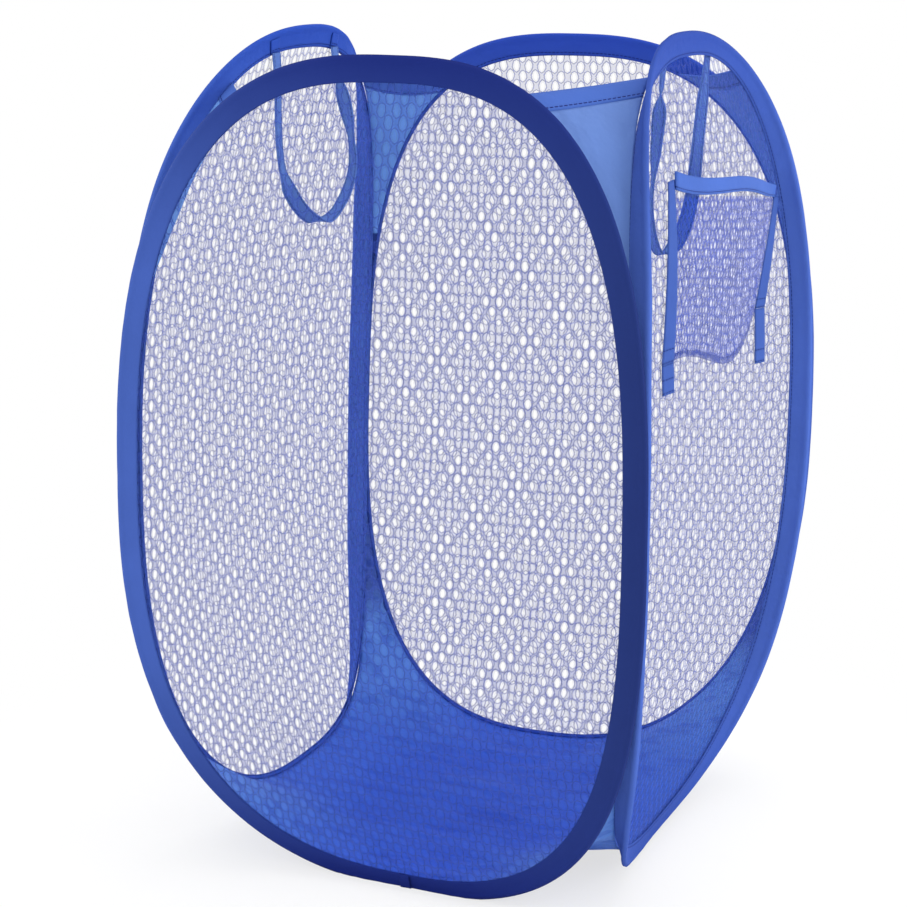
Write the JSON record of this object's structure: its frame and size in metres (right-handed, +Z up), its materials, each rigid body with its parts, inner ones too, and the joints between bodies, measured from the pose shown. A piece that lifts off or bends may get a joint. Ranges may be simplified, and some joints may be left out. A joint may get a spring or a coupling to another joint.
{
  "type": "pop up laundry hamper",
  "caption": "Square pop up laundry hamper with oval spring wire hoops in fabric bindings, mesh sides, fabric corner gussets and base, inside webbing handles and a mesh side pocket.",
  "frame": {"origin": "centre of the hamper's plan, on the floor", "axes": "+Z up, -Y towards the front panel, +X towards the panel that carries the pocket"},
  "size_m": [0.408, 0.412, 0.5984],
  "materials": {
    "binding_fabric": "woven, matte",
    "netting": "open knitted mesh",
    "gusset_fabric": "thin nylon, soft sheen",
    "base_fabric": "thin nylon, creased",
    "webbing": "woven, matte",
    "pocket_netting": "fine mesh",
    "spring_wire": "drawn wire"
  },
  "bodies": {
    "hamper": {"hoop_wire_front": "spring_wire", "hoop_wire_right": "spring_wire", "hoop_wire_back": "spring_wire", "hoop_wire_left": "spring_wire", "binding_front": "binding_fabric", "binding_right": "binding_fabric", "binding_back": "binding_fabric", "binding_left": "binding_fabric", "mesh_panel_front": "netting", "mesh_panel_right": "netting", "mesh_panel_back": "netting", "mesh_panel_left": "netting", "top_gusset_front_right": "gusset_fabric", "top_gusset_back_right": "gusset_fabric", "top_gusset_back_left": "gusset_fabric", "top_gusset_front_left": "gusset_fabric", "top_hem_front_right": "gusset_fabric", "top_hem_back_right": "gusset_fabric", "top_hem_back_left": "gusset_fabric", "top_hem_front_left": "gusset_fabric", "bottom_gusset_front_right": "base_fabric", "bottom_gusset_back_right": "base_fabric", "bottom_gusset_back_left": "base_fabric", "bottom_gusset_front_left": "base_fabric", "base_cloth": "base_fabric", "handle_tab_right_a": "webbing", "handle_tab_right_b": "webbing", "handle_tab_left_a": "webbing", "handle_tab_left_b": "webbing", "pocket_mesh": "pocket_netting", "pocket_hem": "gusset_fabric", "pocket_ribbon_near": "gusset_fabric", "pocket_ribbon_far": "gusset_fabric"},
    "handle_right": {"handle_right": "webbing"},
    "handle_left": {"handle_left": "webbing"},
    "ribbon_tail_near": {"ribbon_tail_near": "gusset_fabric"},
    "ribbon_tail_far": {"ribbon_tail_far": "gusset_fabric"}
  },
  "joints": [
    {"name": "handle_right_swing", "type": "hinge", "parent": "hamper", "child": "handle_right", "pos_m": [0.15403, 0, 0.58011], "axis": [0, 1, 0], "range_deg": [0, 130]},
    {"name": "handle_left_swing", "type": "hinge", "parent": "hamper", "child": "handle_left", "pos_m": [-0.15403, 0, 0.58011], "axis": [0, -1, 0], "range_deg": [0, 130]},
    {"name": "ribbon_tail_near_swing", "type": "hinge", "parent": "hamper", "child": "ribbon_tail_near", "pos_m": [0.1857, -0.1238, 0.3941], "axis": [0, -1, 0], "range_deg": [0, 140]},
    {"name": "ribbon_tail_far_swing", "type": "hinge", "parent": "hamper", "child": "ribbon_tail_far", "pos_m": [0.1859, 0.0918, 0.3901], "axis": [0, -1, 0], "range_deg": [0, 140]}
  ]
}
